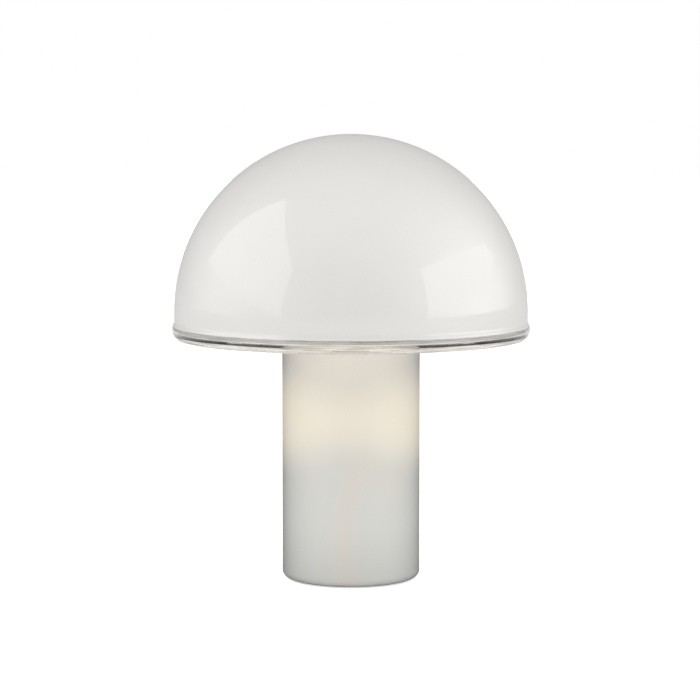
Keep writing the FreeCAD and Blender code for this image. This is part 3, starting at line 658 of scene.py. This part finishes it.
# Foot: rubber ring with grooves, plate with a pressed rim, ballast disc, clamping nuts and washers.
footShape = {
    "ringIn": 44.0 * mm,
    "ringOut": 51.0 * mm,
    "ringHeight": 4.5 * mm,
    "ringRound": 0.8 * mm,
    "grooveDepth": 0.5 * mm,
    "grooveMargin": 0.14,  # share of the ring's width left plain at each side
    "plateRadius": 51.5 * mm,
    "plateThickness": 2.0 * mm,
    "plateRound": 0.6 * mm,
    "pressed": [(14, 0), (16, 0.6), (38, 0.6), (40, 0)],  # plate's underside: radius and rise in mm
    "ballastRadius": 55.0 * mm,
    "ballastLevel": 14.5 * mm,
    "ballastThickness": 10.0 * mm,
    "ballastRound": 1.4 * mm,
    "hollow": [(46, 0), (44, 1), (15, 1), (13, 0)],  # ballast's top: radius and depth in mm
    "tubeHole": 5.05 * mm,
    "segments": 144,
}


def footPieces():
    s = footShape
    hole = s["tubeHole"]
    ring = divided(roundedBand(s["ringIn"], s["ringOut"], 0, s["ringHeight"], s["ringRound"]), 0.3 * mm)
    # three grooves: the underside rises by depth * max(0, -cos(6 pi way)), way 0 to 1 between the margins
    margin = s["grooveMargin"]
    share = (ring[:, 0] - s["ringIn"]) / (s["ringOut"] - s["ringIn"])
    wave = np.maximum(0, -np.cos(6 * np.pi * (share - margin) / (1 - 2 * margin)))
    under = ring[:, 1] < 0.1 * mm
    ring[:, 1] += s["grooveDepth"] * wave * under * (share > margin) * (share < 1 - margin)
    spunPiece("footRing", "base", ring, looks["footRubber"], s["segments"], ("foot_ring",))
    low = s["ringHeight"]
    high = low + s["plateThickness"]
    edge = s["plateRadius"]
    pressed = [(r * mm, low + rise * mm) for r, rise in s["pressed"]]
    plate = roundedOutline([(hole, low), *pressed, (edge, low), (edge, high), (hole, high)], s["plateRound"])
    spunPiece("basePlate", "base", plate, looks["zincSteel"], s["segments"], ("base_plate",))
    low = s["ballastLevel"]
    high = low + s["ballastThickness"]
    edge = s["ballastRadius"]
    hollow = [(r * mm, high - depth * mm) for r, depth in s["hollow"]]
    disc = roundedOutline([(hole, low), (edge, low), (edge, high), *hollow, (hole, high)], s["ballastRound"])
    spunPiece("ballastDisc", "base", disc, looks["ballastIron"], s["segments"], ("ballast_disc",))


nutShape = {
    "flats": 14.0 * mm,
    "height": 3.0 * mm,
    "bore": 5.05 * mm,
    "levels": [1.5, 25.7, 83.8, 91.7, 233.0, 244.0],  # undersides of the nuts on the tube, in mm
    "holderLevel": 85.0 * mm,
    "holderOffset": 32.0 * mm,
    "washerRadius": 10.0 * mm,
    "washerThickness": 1.2 * mm,
    "washerRound": 0.35 * mm,
    "washerLevels": [24.5, 86.8, 90.5],
    "washerSegments": 72,
}


def nutPieces():
    s = nutShape
    measures = (s["flats"], s["height"], s["bore"])
    nuts = [nutGrid(*measures, level * mm) for level in s["levels"]]
    gridPiece("tubeNuts", "base", nuts, looks["zincSteel"], ("tube_nuts",))
    holderNuts = [nutGrid(*measures, s["holderLevel"], (side * s["holderOffset"], 0)) for side in (-1, 1)]
    gridPiece("holderNuts", "base", holderNuts, looks["zincSteel"], ("holder_nuts",))
    washers = []
    for level in s["washerLevels"]:
        low = level * mm
        washer = roundedBand(s["bore"], s["washerRadius"], low, low + s["washerThickness"], s["washerRound"])
        washers.append(spunGrid(washer, s["washerSegments"]))
    gridPiece("tubeWashers", "base", washers, looks["zincSteel"], ("tube_washers",))


# Carrier of the cap: hub, three arms that widen at their welds, and the ring with its sleeves.
carrierShape = {
    "bore": 5.05 * mm,
    "hubRadius": 25.0 * mm,
    "hubLevel": 236.0 * mm,
    "hubHeight": 8.0 * mm,
    "hubRound": 1.0 * mm,
    "armRadius": 2.5 * mm,
    "armAngles": (90, 210, 330),
    "ringRadius": 123.0 * mm,
    "wireRadius": 3.0 * mm,
    "weldSpread": 0.9 * mm,
    "weldReach": (3 * mm, 4 * mm),  # at the hub and at the ring
    "sleeveInside": 3.05 * mm,
    "sleeveOutside": 4.55 * mm,
    "sleeveRound": 0.7 * mm,
    "sleeveAngles": (30, 150, 270),
    "sleeveHalfTurn": 28.0,
    "hubSegments": 96,
    "ringSegments": 192,
    "wireSegments": 24,
}


def carrierPieces():
    s = carrierShape
    low = s["hubLevel"]
    high = low + s["hubHeight"]
    hub = roundedBand(s["bore"], s["hubRadius"], low, high, s["hubRound"])
    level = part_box("carrier_sleeves")[0][2] + s["sleeveOutside"]

    def alongRing(turn, radius):
        # circles on the ring: (R + r cos a) round the axis, level + r sin a
        a = np.linspace(0, 2 * np.pi, s["wireSegments"], endpoint=False)[None, :]
        across = s["ringRadius"] + radius[:, None] * np.cos(a)
        height = level + radius[:, None] * np.sin(a)
        return np.stack([across * np.cos(turn)[:, None], across * np.sin(turn)[:, None], height], axis=-1)

    turn = np.linspace(0, 2 * np.pi, s["ringSegments"], endpoint=False)
    hoop = alongRing(turn, np.full(s["ringSegments"], s["wireRadius"]))
    grids = [spunGrid(hub, s["hubSegments"]), hoop]
    for angle in s["armAngles"]:
        outward = np.array([math.cos(math.radians(angle)), math.sin(math.radians(angle)), 0])
        start = outward * (s["hubRadius"] - s["armRadius"]) + [0, 0, (low + high) / 2]
        end = outward * s["ringRadius"] + [0, 0, level]
        share = np.linspace(0, 1, 60)
        path = start + (end - start) * share[:, None]
        length = np.linalg.norm(end - start)
        # the arm's radius grows near its ends by spread * exp(-distance / reach) and closes in the last point
        hubReach, ringReach = s["weldReach"]
        weld = np.exp(-share * length / hubReach) + np.exp(-(1 - share) * length / ringReach)
        radii = s["armRadius"] + s["weldSpread"] * weld
        radii[[0, -1]] = 0
        grids.append(sweptGrid(path, radii, s["wireSegments"], np.cross(outward, [0, 0, 1])))
    gridPiece("capCarrier", "base", grids, looks["whiteSteel"], ("cap_carrier",))
    # a sleeve's wall is drawn as if the ring were straight, then its height becomes the way round the ring
    half = math.radians(s["sleeveHalfTurn"]) * s["ringRadius"]
    wall = divided(roundedBand(s["sleeveInside"], s["sleeveOutside"], -half, half, s["sleeveRound"]), 3 * mm)
    sleeves = [alongRing(wall[:, 1] / s["ringRadius"] + math.radians(angle), wall[:, 0])
               for angle in s["sleeveAngles"]]
    gridPiece("carrierSleeves", "base", sleeves, looks["sleeveSilicone"], ("carrier_sleeves",))


# Lampholders and bulbs, in two screw sizes; lengths in millimetres.
screwSizes = {
    "small": {
        "housingRadius": 14.0, "housingHeight": 44.0, "floor": 8.0, "cavityRadius": 10.0, "deck": 14.0,
        "deckThickness": 3.0, "shellRadius": 7.25, "shellLength": 16.5, "mouthRadius": 9.3,
        "mouthDepth": 9.5, "contactHeight": 1.7, "tipRadius": 2.4, "crest": 6.95, "pitch": 2.82,
        "ridge": 0.8, "insulator": 3.2, "skirtRadius": 8.5, "skirtLength": 5.0, "globe": 22.5,
        "length": 78.0, "neckAngle": 44.0,
    },
    "large": {
        "housingRadius": 20.0, "housingHeight": 52.0, "floor": 9.0, "cavityRadius": 15.0, "deck": 16.0,
        "deckThickness": 3.5, "shellRadius": 13.4, "shellLength": 22.5, "mouthRadius": 15.6,
        "mouthDepth": 9.0, "contactHeight": 3.2, "tipRadius": 5.0, "crest": 13.1, "pitch": 3.63,
        "ridge": 1.0, "insulator": 4.5, "skirtRadius": 14.4, "skirtLength": 6.0, "globe": 30.0,
        "length": 108.0, "neckAngle": 36.0,
    },
}
bothSizes = {
    "entryHole": 5.05,
    "wireHole": 1.55,
    "housingRound": 0.8,
    "housingSegments": 96,
    "ribPitch": 3.0,
    "ribDepth": 0.7,
    "ribReach": 0.9,  # only what lies less deep than this is ribbed
    "ribLow": 0.45,  # share of the housing's height
    "ribHigh": 3.0,  # below its upper edge
    "shellWall": 0.4,
    "shellPlay": 0.05,
    "shellRelief": 0.05,
    "contactGap": 0.3,
    "threadSegments": 72,
    "threadTurns": 4,
    "tipHeight": 1.2,
    "tipSegments": 48,
    "insulatorRound": 0.5,
    "insulatorSegments": 64,
    "capSheet": 0.4,
    "capRound": 0.35,
    "glassWall": 0.8,
    "glassPlay": 0.05,
    "neckEdge": 1.0,
    "glassSegments": 128,
}
bulbLook = {
    "shade": (0.74, 0.73, 0.70),
    "pale": (0.80, 0.79, 0.77),
    "cloudScale": 70.0,
    "roughness": 0.5,
    "gloss": 0.04,
    "rippleScale": 120.0,
    "rippleStrength": 0.2,
    "rippleDepth": 0.00005,
    "lit": (1.0, 0.72, 0.38),
    "litStrength": 0.32,
    "litShade": 0.85,  # share of it in the coating's darker clouds
}
lampPlaces = {
    # screw size, place sideways, level of the holder's underside, light
    "left": ("small", -32.0, 90.5, bulbLook["litStrength"]),
    "right": ("small", 32.0, 90.5, bulbLook["litStrength"]),
    "upper": ("large", 0.0, 247.0, 0.0),
}


def bulbGlassMaterial(name, lit):
    # white coated glass: faint clouds in the coating, a clear gloss over it, and warm light when it is on
    material, tree, shader = newMaterial(name)
    place = objectPlace(tree)
    clouds = noiseOver(place, bulbLook["cloudScale"])
    feed(rampOver(clouds, 0.35, bulbLook["shade"], 0.65, bulbLook["pale"]), shader, "Base Color")
    setInputs(shader, {"Roughness": bulbLook["roughness"], "Coat Weight": 1.0,
                       "Coat Roughness": bulbLook["gloss"]})
    if lit:
        shader.inputs["Emission Color"].default_value = (*bulbLook["lit"], 1)
        light = spread(clouds, 0.2, 0.8, lit * bulbLook["litShade"], lit)
        feed(light, shader, "Emission Strength")
    ripples = noiseOver(place, bulbLook["rippleScale"], 1.0)
    bumpOver(shader, ripples, bulbLook["rippleStrength"], bulbLook["rippleDepth"])
    return material


def placed(outline, level):
    # from millimetres over a level to metres
    return (np.array(outline, dtype=float) + [0, level]) * mm


def screwGrid(outline, segments, x, level, low, high, pitch, depth, reach):
    # an outline in millimetres turned round at x, with a thread between two heights over the level
    centre = (x * mm, 0.0)
    grid = spunGrid(placed(outline, level), segments, centre)
    return threaded(grid, centre, (level + low) * mm, (level + high) * mm, pitch * mm, depth * mm,
                    reach * mm)


def holderPieces(name, size, x, level):
    # housing and screw shell; it gives back the level at which the bulb's tip ends
    s = {**bothSizes, **screwSizes[size]}
    outside = s["housingRadius"]
    entry = s["entryHole"]
    wire = s["wireHole"]
    cavity = s["cavityRadius"]
    deck = s["deck"]
    top = s["housingHeight"]
    mouth = top - s["mouthDepth"]
    deckTop = deck + s["deckThickness"]
    shellOut = s["shellRadius"] + s["shellWall"]
    well = shellOut + s["shellPlay"]
    corners = [(entry, 0), (outside, 0), (outside, top), (s["mouthRadius"], top), (s["mouthRadius"], mouth),
               (well, mouth), (well, deckTop), (wire, deckTop), (wire, deck), (cavity, deck),
               (cavity, s["floor"]), (entry, s["floor"])]
    housing = divided(roundedOutline(corners, s["housingRound"]), 0.5)
    grid = screwGrid(housing, s["housingSegments"], x, level, top * s["ribLow"], top - s["ribHigh"],
                     s["ribPitch"], s["ribDepth"], outside - s["ribReach"])
    gridPiece(name + "HolderHousing", "base", [grid], looks["holderPlastic"], (name + "_holder_housing",))
    shellTop = deckTop + s["shellLength"]
    shell = divided(roundedBand(s["shellRadius"], shellOut, deckTop, shellTop, 0.1), 0.4)
    grid = screwGrid(shell, s["threadSegments"], x, level, deckTop + 1, shellTop - 1, s["pitch"],
                     s["shellRelief"], 0.0)
    gridPiece(name + "HolderShell", "base", [grid], looks["holderMetal"], (name + "_holder_shell",))
    return level + deckTop + s["contactHeight"] + s["contactGap"]


def bulbCurve(s, start, neckEnd, inwards):
    # neck, then a cubic curve from the neck's end to the globe, then the globe up to its top
    neck = s["skirtRadius"] - s["capSheet"] - s["glassPlay"] - inwards
    radius = s["globe"] - inwards
    middle = s["length"] - s["globe"]
    below = math.radians(s["neckAngle"])
    first = np.array([neck, neckEnd + inwards / 2])
    last = np.array([radius * math.cos(below), middle - radius * math.sin(below)])
    pull = np.linalg.norm(last - first)
    leave = np.array([0, 1.0]) * pull
    arrive = np.array([math.sin(below), math.cos(below)]) * pull
    t = np.linspace(0, 1, 15)[:, None]
    curve = ((2 * t ** 3 - 3 * t ** 2 + 1) * first + (t ** 3 - 2 * t ** 2 + t) * leave
             + (3 * t ** 2 - 2 * t ** 3) * last + (t ** 3 - t ** 2) * arrive)
    globe = arcPoints((0, middle), radius, -s["neckAngle"], 90, 49)[1:]
    globe[-1, 0] = 0
    bottom = start + inwards
    edge = s["neckEdge"]
    return np.vstack([[(0, bottom), (neck - edge, bottom), (neck, bottom + edge)], curve, globe])


def bulbPieces(name, size, x, level, lit):
    s = {**bothSizes, **screwSizes[size]}
    centre = (x * mm, 0.0)
    body = name + "_bulb"
    tip = s["tipHeight"]
    insulatorTop = tip + s["insulator"]
    crest = s["crest"]
    root = crest - s["ridge"]
    threadEnd = insulatorTop + s["threadTurns"] * s["pitch"]
    skirt = s["skirtRadius"]
    skirtStart = threadEnd + skirt - root
    capEnd = skirtStart + s["skirtLength"]
    # solder tip: a low dome
    dome = arcPoints((0, tip), s["tipRadius"], -90, 0, 12)
    dome[:, 1] = tip + (dome[:, 1] - tip) * tip / s["tipRadius"]
    dome[0, 0] = 0
    dome = placed([*dome, (0, tip)], level)
    spunPiece(name + "BulbTip", body, dome, looks["bulbSolder"], s["tipSegments"], (body + "_tip",),
              centre)
    corners = [(0, tip), (s["tipRadius"] + tip, tip), (root, insulatorTop), (0, insulatorTop)]
    insulator = placed(roundedOutline(corners, s["insulatorRound"]), level)
    spunPiece(name + "BulbInsulator", body, insulator, looks["bulbInsulator"], s["insulatorSegments"],
              (body + "_insulator",), centre)
    # screw cap: crest radius where the thread runs, flare, straight skirt and the inside of the sheet
    outside = [(root, insulatorTop), (root + 0.3, insulatorTop + 0.3), (crest, insulatorTop + 0.8),
               (crest, threadEnd - 0.6), (root + 0.2, threadEnd), (skirt, skirtStart), (skirt, capEnd)]
    sheet = s["capSheet"]
    inside = [(skirt - sheet, capEnd), (skirt - sheet, skirtStart), (root - sheet, threadEnd),
              (root - sheet, insulatorTop)]
    capWall = divided(roundedOutline(outside + inside, s["capRound"]), s["pitch"] / 9)
    grid = screwGrid(capWall, s["threadSegments"], x, level, insulatorTop, threadEnd, s["pitch"], s["ridge"],
                     root + 0.02)
    gridPiece(name + "BulbCap", body, [grid], looks["bulbCapMetal"], (body + "_cap",))
    outer = bulbCurve(s, skirtStart, capEnd, 0.0)
    inner = bulbCurve(s, skirtStart, capEnd, s["glassWall"])
    glass = placed(np.vstack([outer, inner[::-1]]), level)
    material = bulbGlassMaterial(name + "BulbGlass", lit)
    spunPiece(name + "BulbGlass", body, glass, material, s["glassSegments"], (body + "_glass",),
              centre)


# Cable gland in the column's back: flange with rounded rim, ribbed nose, and the nut inside.
glandShape = {
    "height": 29.0 * mm,
    "bore": 3.4 * mm,
    "stem": 5.8 * mm,
    "stemBeyond": 0.3 * mm,  # past the nut's inner face
    "flange": 9.0 * mm,
    "flangeStart": 1.2 * mm,  # from the column's outside
    "flangeThickness": 3.0 * mm,
    "noseLength": 12.0 * mm,
    "noseRoot": 6.6 * mm,
    "noseTip": 4.8 * mm,
    "rounding": 0.6 * mm,
    "ribPitch": 2.0 * mm,
    "ribDepth": 0.5 * mm,
    "ribSpan": (0.4 * mm, 11.0 * mm),  # along the nose
    "nutFlats": 15.6 * mm,
    "nutHeight": 4.0 * mm,
    "nutPlay": 0.05 * mm,
    "segments": 72,
}


def backwards(grid, y, height):
    # from standing on z to lying along +Y: (x, y, z) becomes (x, y0 + z, height - y)
    return np.stack([grid[..., 0], y + grid[..., 2], height - grid[..., 1]], axis=-1)


def glandPieces():
    s = glandShape
    glass = columnShape["radius"]
    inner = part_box("gland_nut")[0][1]
    start = inner - s["stemBeyond"] - glass
    flange = s["flangeStart"]
    nose = flange + s["flangeThickness"]
    end = nose + s["noseLength"]
    corners = [(s["bore"], start), (s["bore"], end), (s["noseTip"], end), (s["noseRoot"], nose),
               (s["flange"], nose), (s["flange"], flange), (s["stem"], flange), (s["stem"], start)]
    outline = divided(roundedOutline(corners, s["rounding"]), 0.25 * mm)
    # ribs: the nose's radius falls by depth * (1 - cos(2 pi way / pitch)) / 2 between them
    way = outline[:, 1] - nose
    ribbed = (way > s["ribSpan"][0]) & (way < s["ribSpan"][1]) & (outline[:, 0] > s["bore"] + s["ribDepth"])
    outline[:, 0] -= s["ribDepth"] * (1 - np.cos(2 * np.pi * way / s["ribPitch"])) / 2 * ribbed
    grid = backwards(spunGrid(outline, s["segments"]), glass, s["height"])
    gridPiece("cableGland", "base", [grid], looks["glandPlastic"], ("cable_gland",))
    nut = nutGrid(s["nutFlats"], s["nutHeight"], s["stem"] + s["nutPlay"], 0.0)
    nut = backwards(nut, inner, s["height"])
    gridPiece("glandNut", "base", [nut], looks["glandPlastic"], ("gland_nut",))


footPieces()
nutPieces()
carrierPieces()
for name, (size, x, level, lit) in lampPlaces.items():
    bulbPieces(name, size, x, holderPieces(name, size, x, level), lit)
glandPieces()
print("inner pieces made")


# Nodes kept as they come from the CAD file, by the look they get.
keptLooks = {
    "footRubber": ["lower_gasket", "upper_gasket", "gland_washer"],
    "zincSteel": ["central_tube", "lower_bracket", "holder_nipples"],
    "contactBrass": ["left_holder_contact", "right_holder_contact", "upper_holder_contact",
                     "terminal_screws"],
    "blockPlastic": ["terminal_block"],
    "leadSheath": ["left_lead", "right_lead", "upper_lead"],
}
for look, names in keptLooks.items():
    for name in names:
        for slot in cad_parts[name].material_slots:
            slot.material = looks[look]
print("kept nodes painted")


# Studio: a pale floor, a soft panel at each side, and a pale room that is brighter from some sides.
studioLook = {
    "cameraPlace": (-0.001, -2.7201, 0.4935),
    "cameraTilt": 5.505,  # degrees below level
    "focalPixels": 2712.5,
    "picturePixels": 700,
    "sensorWidth": 36,
    "roomLight": 0.465,
    "roomGloss": 0.45,
    "roomSides": {  # direction, narrowness, more light, more shine, less light through glass
        "front": ((0, -1, 0), 5.0, 0.9, 0.0, 0.0),
        "back": ((0, 1, 0), 5.0, 1.2, 0.0, 0.0),
        "leftHigh": ((-0.86, -0.02, 0.51), 6.0, 1.85, 0.0, 0.0),
        "rightHigh": ((0.86, -0.02, 0.51), 6.0, 1.9, 0.0, 0.0),
        "above": ((0, 0, 1), 3.0, 0.44, 0.0, 0.0),
        "left": ((-1, 0, 0), 4.0, 0.0, 1.2, 0.6),
        "right": ((1, 0, 0), 4.0, 0.0, 2.3, 0.6),
    },
    "floorColour": (0.80, 0.80, 0.80),
    "floorReach": 12.0,
    "floorLift": 0.58,  # light of its own, only as it is seen
    "leftStrength": 1.9,
    "leftPlane": -1.2,
    "leftPanel": [(-1.27, 0.26), (-1.45, 1.27), (0.07, 2.35), (0.21, 1.64), (0.435, 0.65)],
    "rightStrength": 2.4,
    "rightPlane": 1.5,
    "rightPanel": [(-1.34, 0.22), (-1.34, 1.28), (0.55, 0.99), (0.68, 0.785), (0.22, 0.57)],
    "bandOutline": [(0.25, 0.001), (0.8, 0.001), (0.8, 0.50)],  # distance from the axis, height
    "bandEnds": (-6, 186),  # degrees, 90 is straight behind the lamp
    "bandShade": 0.0,
}


def makeCamera():
    s = studioLook
    data = bpy.data.cameras.new("camera")
    data.sensor_width = s["sensorWidth"]
    data.lens = s["sensorWidth"] * s["focalPixels"] / s["picturePixels"]
    camera = bpy.data.objects.new("camera", data)
    camera.location = s["cameraPlace"]
    camera.rotation_euler = (math.radians(90 - s["cameraTilt"]), 0, 0)
    bpy.context.scene.collection.objects.link(camera)
    bpy.context.scene.camera = camera


def stagePiece(name, points, faces, material):
    piece = meshObject(name, points, faces, material)
    return piece


def floorPaint():
    material, tree, shader = newMaterial("floorPaint")
    setInputs(shader, {"Base Color": (*studioLook["floorColour"], 1), "Roughness": 0.9,
                       "Specular IOR Level": 0.0, "Emission Color": (1, 1, 1, 1)})
    rays = tree.nodes.new("ShaderNodeLightPath").outputs
    seen = calculate("MAXIMUM", rays["Is Camera Ray"], rays["Is Transmission Ray"])
    feed(product(seen, studioLook["floorLift"]), shader, "Emission Strength")
    return material


def panelLight(name, strength):
    material, tree, shader = newMaterial(name)
    tree.nodes.remove(shader)
    glow = tree.nodes.new("ShaderNodeEmission")
    glow.inputs["Strength"].default_value = strength
    feed(glow.outputs["Emission"], tree.nodes["Material Output"], "Surface")
    return material


def makeStage():
    s = studioLook
    reach = s["floorReach"]
    stagePiece("floor", [(-reach, -reach, 0), (reach, -reach, 0), (reach, reach, 0), (-reach, reach, 0)],
               [(0, 1, 2, 3)], floorPaint())
    for side in ("left", "right"):
        corners = [(s[side + "Plane"], y, z) for y, z in s[side + "Panel"]]
        panel = stagePiece(side + "Panel", corners, [tuple(range(len(corners)))],
                           panelLight(side + "PanelLight", s[side + "Strength"]))
        panel.visible_camera = False
        panel.visible_diffuse = False
        panel.visible_transmission = False
    # a low dark band behind the lamp, which shows only through the clear rim
    outline = s["bandOutline"]
    turn = np.radians(np.linspace(*s["bandEnds"], 33))
    ring = [(r * math.cos(t), r * math.sin(t), z) for r, z in outline for t in turn]
    faces = gridFaces(len(outline), len(turn), closed=False).tolist()
    band = stagePiece("darkBand", ring, faces, panelLight("bandShade", s["bandShade"]))
    band.visible_camera = False
    band.visible_diffuse = False
    band.visible_glossy = False
    band.visible_shadow = False


def makeRoom():
    # each side adds to the room's light, its shine, or takes from what is seen through glass
    s = studioLook
    world = bpy.data.worlds.new("room")
    bpy.context.scene.world = world
    world.use_nodes = True
    tree = world.node_tree
    rays = tree.nodes.new("ShaderNodeLightPath").outputs
    straight = rays["Is Camera Ray"]
    through = rays["Is Transmission Ray"]
    glossy = rays["Is Glossy Ray"]
    light = s["roomLight"]
    shine = s["roomGloss"]
    clear = 1.0
    direction = tree.nodes.new("ShaderNodeTexCoord").outputs["Generated"]
    for side, narrowness, sideLight, sideShine, sideShade in s["roomSides"].values():
        # the greater of 0 and direction . side, to the power of the narrowness
        facing = vectorMath("DOT_PRODUCT", direction, side).outputs["Value"]
        lobe = calculate("POWER", calculate("MAXIMUM", facing, 0.0), narrowness)
        light = total(product(lobe, sideLight), light)
        shine = total(product(lobe, sideShine), shine)
        clear = calculate("SUBTRACT", clear, product(lobe, sideShade))
    seen = calculate("MAXIMUM", straight, through)
    hidden = calculate("SUBTRACT", 1.0, calculate("MAXIMUM", seen, glossy))
    strength = total(straight, product(through, clear), product(glossy, shine),
                     product(hidden, light))
    background = tree.nodes["Background"]
    feed(strength, background, "Strength")
    setInputs(background, {"Color": (1, 1, 1, 1)})


makeCamera()
makeStage()
makeRoom()
bpy.context.scene.view_settings.view_transform = "Standard"
print("studio made")
